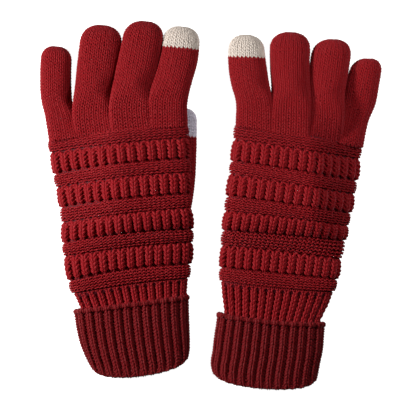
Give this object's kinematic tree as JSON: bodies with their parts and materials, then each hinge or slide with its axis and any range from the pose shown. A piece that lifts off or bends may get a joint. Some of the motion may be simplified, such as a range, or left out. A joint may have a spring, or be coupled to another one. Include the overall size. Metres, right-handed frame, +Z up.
{
  "type": "touchscreen gloves",
  "caption": "Pair of thick knitted gloves with puffed rib bands on the back of the hand, a turned-up rib cuff, and touch-sensitive yarn tips on index finger and thumb.",
  "frame": {"origin": "on the surface that the gloves lie on, at the middle of the pair", "axes": "+X across the pair, from the left glove to the right one; +Y towards the fingertips; +Z up, out of the backs of the hands"},
  "size_m": [0.2376, 0.2605, 0.0288],
  "materials": {
    "red_knit": "matt wool-like yarn in plain and purl knit, dark red",
    "red_ribbed_knit": "the same dark red yarn knitted in one-by-one rib",
    "beige_conductive_yarn": "pale beige plain knit of conductive yarn",
    "grey_conductive_yarn": "pale grey plain knit of conductive yarn",
    "fleece_lining": "thin brushed fleece, dark red"
  },
  "bodies": {
    "left_hand": {"left_hand_knit": "red_knit", "left_hand_lining": "fleece_lining"},
    "left_wrist": {"left_wrist_rib": "red_ribbed_knit"},
    "left_cuff": {"left_turned_cuff": "red_ribbed_knit"},
    "left_thumb_base": {"left_thumb_lower": "red_knit", "left_thumb_lower_lining": "fleece_lining"},
    "left_thumb_end": {"left_thumb_upper": "red_knit", "left_thumb_upper_lining": "fleece_lining", "left_thumb_touch_tip": "grey_conductive_yarn"},
    "left_index_base": {"left_index_lower": "red_knit", "left_index_lower_lining": "fleece_lining"},
    "left_index_end": {"left_index_upper": "red_knit", "left_index_upper_lining": "fleece_lining", "left_index_touch_tip": "beige_conductive_yarn"},
    "left_middle_base": {"left_middle_lower": "red_knit", "left_middle_lower_lining": "fleece_lining"},
    "left_middle_end": {"left_middle_upper": "red_knit", "left_middle_upper_lining": "fleece_lining"},
    "left_ring_base": {"left_ring_lower": "red_knit", "left_ring_lower_lining": "fleece_lining"},
    "left_ring_end": {"left_ring_upper": "red_knit", "left_ring_upper_lining": "fleece_lining"},
    "left_pinky_base": {"left_pinky_lower": "red_knit", "left_pinky_lower_lining": "fleece_lining"},
    "left_pinky_end": {"left_pinky_upper": "red_knit", "left_pinky_upper_lining": "fleece_lining"},
    "right_hand": {"right_hand_knit": "red_knit", "right_hand_lining": "fleece_lining"},
    "right_wrist": {"right_wrist_rib": "red_ribbed_knit"},
    "right_cuff": {"right_turned_cuff": "red_ribbed_knit"},
    "right_thumb_base": {"right_thumb_lower": "red_knit", "right_thumb_lower_lining": "fleece_lining"},
    "right_thumb_end": {"right_thumb_upper": "red_knit", "right_thumb_upper_lining": "fleece_lining", "right_thumb_touch_tip": "grey_conductive_yarn"},
    "right_index_base": {"right_index_lower": "red_knit", "right_index_lower_lining": "fleece_lining"},
    "right_index_end": {"right_index_upper": "red_knit", "right_index_upper_lining": "fleece_lining", "right_index_touch_tip": "beige_conductive_yarn"},
    "right_middle_base": {"right_middle_lower": "red_knit", "right_middle_lower_lining": "fleece_lining"},
    "right_middle_end": {"right_middle_upper": "red_knit", "right_middle_upper_lining": "fleece_lining"},
    "right_ring_base": {"right_ring_lower": "red_knit", "right_ring_lower_lining": "fleece_lining"},
    "right_ring_end": {"right_ring_upper": "red_knit", "right_ring_upper_lining": "fleece_lining"},
    "right_pinky_base": {"right_pinky_lower": "red_knit", "right_pinky_lower_lining": "fleece_lining"},
    "right_pinky_end": {"right_pinky_upper": "red_knit", "right_pinky_upper_lining": "fleece_lining"}
  },
  "joints": [
    {"name": "right_glove_moves_away", "type": "slide", "parent": "left_hand", "child": "right_hand", "axis": [1, 0, 0], "range_m": [0, 0.15]},
    {"name": "left_wrist_bend", "type": "hinge", "parent": "left_hand", "child": "left_wrist", "pos_m": [-0.0546, -0.063, 0.01], "axis": [-0.9931, -0.1173, 0], "range_deg": [-45, 45]},
    {"name": "left_cuff_unroll", "type": "slide", "parent": "left_wrist", "child": "left_cuff", "axis": [0.1173, -0.9931, 0], "range_m": [0, 0.045]},
    {"name": "left_thumb_swing", "type": "hinge", "parent": "left_hand", "child": "left_thumb_base", "pos_m": [-0.0213, 0.0108, 0.006], "axis": [0, 0, -1], "range_deg": [0, 35]},
    {"name": "left_thumb_bend", "type": "hinge", "parent": "left_thumb_base", "child": "left_thumb_end", "pos_m": [-0.0192, 0.0416, 0.006], "axis": [0, 0, 1], "range_deg": [0, 60]},
    {"name": "left_index_knuckle_bend", "type": "hinge", "parent": "left_hand", "child": "left_index_base", "pos_m": [-0.028, 0.0788, 0.0208], "axis": [-0.9949, 0.1013, 0], "range_deg": [-20, 75]},
    {"name": "left_index_middle_bend", "type": "hinge", "parent": "left_index_base", "child": "left_index_end", "pos_m": [-0.0217, 0.1018, 0.01391], "axis": [-0.9949, 0.1013, 0], "range_deg": [0, 65]},
    {"name": "left_middle_knuckle_bend", "type": "hinge", "parent": "left_hand", "child": "left_middle_base", "pos_m": [-0.0546, 0.0752, 0.0208], "axis": [-0.9949, 0.1013, 0], "range_deg": [-20, 75]},
    {"name": "left_middle_middle_bend", "type": "hinge", "parent": "left_middle_base", "child": "left_middle_end", "pos_m": [-0.0493, 0.1018, 0.01405], "axis": [-0.9949, 0.1013, 0], "range_deg": [0, 65]},
    {"name": "left_ring_knuckle_bend", "type": "hinge", "parent": "left_hand", "child": "left_ring_base", "pos_m": [-0.0812, 0.0718, 0.01452], "axis": [-0.9949, 0.1013, 0], "range_deg": [-20, 75]},
    {"name": "left_ring_middle_bend", "type": "hinge", "parent": "left_ring_base", "child": "left_ring_end", "pos_m": [-0.078, 0.0983, 0.01092], "axis": [-0.9949, 0.1013, 0], "range_deg": [0, 65]},
    {"name": "left_pinky_knuckle_bend", "type": "hinge", "parent": "left_hand", "child": "left_pinky_base", "pos_m": [-0.1064, 0.0682, 0.008], "axis": [-0.9949, 0.1013, 0], "range_deg": [-20, 75]},
    {"name": "left_pinky_middle_bend", "type": "hinge", "parent": "left_pinky_base", "child": "left_pinky_end", "pos_m": [-0.1078, 0.0892, 0.00752], "axis": [-0.9949, 0.1013, 0], "range_deg": [0, 65]},
    {"name": "right_wrist_bend", "type": "hinge", "parent": "right_hand", "child": "right_wrist", "pos_m": [0.0447, -0.0714, 0.01], "axis": [-0.993, 0.1182, 0], "range_deg": [-45, 45]},
    {"name": "right_cuff_unroll", "type": "slide", "parent": "right_wrist", "child": "right_cuff", "axis": [-0.1182, -0.993, 0], "range_m": [0, 0.045]},
    {"name": "right_thumb_swing", "type": "hinge", "parent": "right_hand", "child": "right_thumb_base", "pos_m": [0.0297, 0.0066, 0.006], "axis": [0, 0, 1], "range_deg": [0, 35]},
    {"name": "right_thumb_bend", "type": "hinge", "parent": "right_thumb_base", "child": "right_thumb_end", "pos_m": [0.034, 0.037, 0.006], "axis": [0, 0, -1], "range_deg": [0, 60]},
    {"name": "right_index_knuckle_bend", "type": "hinge", "parent": "right_hand", "child": "right_index_base", "pos_m": [0.0294, 0.0788, 0.0208], "axis": [-0.9995, 0.0316, 0], "range_deg": [-20, 75]},
    {"name": "right_index_middle_bend", "type": "hinge", "parent": "right_index_base", "child": "right_index_end", "pos_m": [0.0264, 0.0986, 0.01408], "axis": [-0.9995, 0.0316, 0], "range_deg": [0, 65]},
    {"name": "right_middle_knuckle_bend", "type": "hinge", "parent": "right_hand", "child": "right_middle_base", "pos_m": [0.0567, 0.0745, 0.0208], "axis": [-0.9995, 0.0316, 0], "range_deg": [-20, 75]},
    {"name": "right_middle_middle_bend", "type": "hinge", "parent": "right_middle_base", "child": "right_middle_end", "pos_m": [0.056, 0.0976, 0.01401], "axis": [-0.9995, 0.0316, 0], "range_deg": [0, 65]},
    {"name": "right_ring_knuckle_bend", "type": "hinge", "parent": "right_hand", "child": "right_ring_base", "pos_m": [0.0804, 0.0703, 0.01745], "axis": [-0.9995, 0.0316, 0], "range_deg": [-20, 75]},
    {"name": "right_ring_middle_bend", "type": "hinge", "parent": "right_ring_base", "child": "right_ring_end", "pos_m": [0.0832, 0.0928, 0.01235], "axis": [-0.9995, 0.0316, 0], "range_deg": [0, 65]},
    {"name": "right_pinky_knuckle_bend", "type": "hinge", "parent": "right_hand", "child": "right_pinky_base", "pos_m": [0.1036, 0.0668, 0.00805], "axis": [-0.9995, 0.0316, 0], "range_deg": [-20, 75]},
    {"name": "right_pinky_middle_bend", "type": "hinge", "parent": "right_pinky_base", "child": "right_pinky_end", "pos_m": [0.1073, 0.085, 0.00752], "axis": [-0.9995, 0.0316, 0], "range_deg": [0, 65]}
  ]
}
